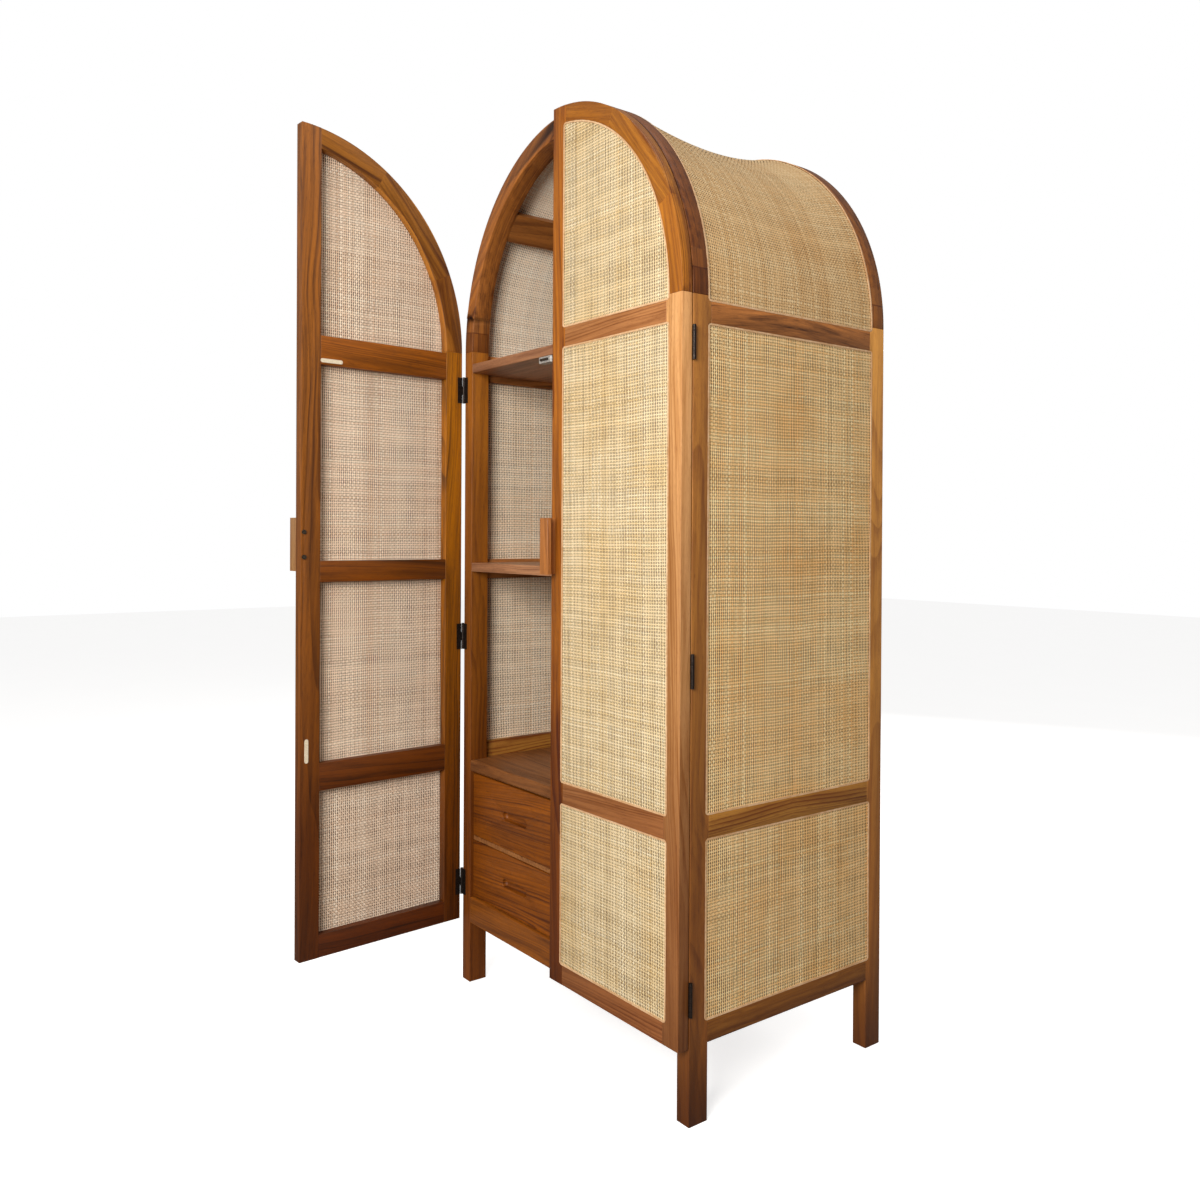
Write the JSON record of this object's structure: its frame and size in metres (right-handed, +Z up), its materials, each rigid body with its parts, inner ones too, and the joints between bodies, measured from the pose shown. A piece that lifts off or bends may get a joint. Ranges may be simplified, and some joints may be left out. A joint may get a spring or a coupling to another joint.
{
  "type": "arched cabinet with woven cane panels",
  "caption": "Free-standing wooden cabinet with a round-headed front, a saddle-shaped woven cane roof, cane doors and sides, inner shelves and small drawers behind the doors.",
  "frame": {"origin": "on the floor, midway between the four feet", "axes": "+X to the viewer's right when the cabinet is seen from the front, +Y from its front to its back, +Z up"},
  "size_m": [0.8897, 0.9863, 2.02],
  "materials": {
    "wood_brown": "satin",
    "wood_dark": "satin",
    "wood_orange": "satin",
    "cane": "matte",
    "cane_spline": "satin",
    "catch_white": "satin",
    "steel": "brushed",
    "hinge_bronze": "satin"
  },
  "bodies": {
    "case": {"front_left_post": "wood_brown", "front_right_post": "wood_brown", "back_left_post": "wood_brown", "back_right_post": "wood_brown", "front_arch": "wood_dark", "back_arch": "wood_dark", "side_bottom_rails": "wood_brown", "side_lower_rails": "wood_brown", "side_middle_battens": "wood_brown", "side_upper_rails": "wood_dark", "back_bottom_rail": "wood_brown", "back_lower_rail": "wood_brown", "back_upper_rail": "wood_brown", "front_bottom_rail": "wood_brown", "back_panel": "wood_brown", "left_side_cane": "cane", "right_side_cane": "cane", "side_splines": "cane_spline", "roof_cane": "cane", "roof_splines": "cane_spline", "roof_purlins": "wood_brown", "upper_shelf": "wood_brown", "middle_shelf": "wood_brown", "drawer_board": "wood_brown", "centre_partition": "wood_brown", "drawer_partition": "wood_brown", "drawer_divider_rails": "wood_brown", "drawer_runners": "wood_brown", "catch_housings": "catch_white", "catch_magnets": "steel", "case_hinge_leaves": "hinge_bronze", "hinge_pins": "hinge_bronze"},
    "left_door": {"left_door_meeting_stile": "wood_dark", "left_door_hinge_stile": "wood_orange", "left_door_arch": "wood_orange", "left_door_rails": "wood_orange", "left_door_cane": "cane", "left_door_splines": "cane_spline", "left_door_handle": "wood_orange", "left_door_handle_screws": "hinge_bronze", "left_door_strike_plates": "steel", "left_door_hinge_leaves": "hinge_bronze"},
    "left_upper_drawer": {"left_upper_drawer_front": "wood_orange", "left_upper_drawer_box": "wood_brown"},
    "left_lower_drawer": {"left_lower_drawer_front": "wood_orange", "left_lower_drawer_box": "wood_brown"},
    "right_door": {"right_door_meeting_stile": "wood_dark", "right_door_hinge_stile": "wood_orange", "right_door_arch": "wood_orange", "right_door_rails": "wood_orange", "right_door_cane": "cane", "right_door_splines": "cane_spline", "right_door_handle": "wood_orange", "right_door_handle_screws": "hinge_bronze", "right_door_strike_plates": "steel", "right_door_hinge_leaves": "hinge_bronze"},
    "right_upper_drawer": {"right_upper_drawer_front": "wood_orange", "right_upper_drawer_box": "wood_brown"},
    "right_lower_drawer": {"right_lower_drawer_front": "wood_orange", "right_lower_drawer_box": "wood_brown"}
  },
  "joints": [
    {"name": "left_door_hinge", "type": "hinge", "parent": "case", "child": "left_door", "pos_m": [-0.4295, -0.27835, 0.852], "axis": [0, 0, -1], "range_deg": [-85.7, 94.3]},
    {"name": "right_door_hinge", "type": "hinge", "parent": "case", "child": "right_door", "pos_m": [0.4295, -0.27835, 0.852], "axis": [0, 0, 1], "range_deg": [0, 180]},
    {"name": "left_upper_drawer_slide", "type": "slide", "parent": "case", "child": "left_upper_drawer", "axis": [0, -1, 0], "range_m": [0, 0.33]},
    {"name": "left_lower_drawer_slide", "type": "slide", "parent": "case", "child": "left_lower_drawer", "axis": [0, -1, 0], "range_m": [0, 0.33]},
    {"name": "right_upper_drawer_slide", "type": "slide", "parent": "case", "child": "right_upper_drawer", "axis": [0, -1, 0], "range_m": [0, 0.01]},
    {"name": "right_lower_drawer_slide", "type": "slide", "parent": "case", "child": "right_lower_drawer", "axis": [0, -1, 0], "range_m": [0, 0.01]}
  ]
}
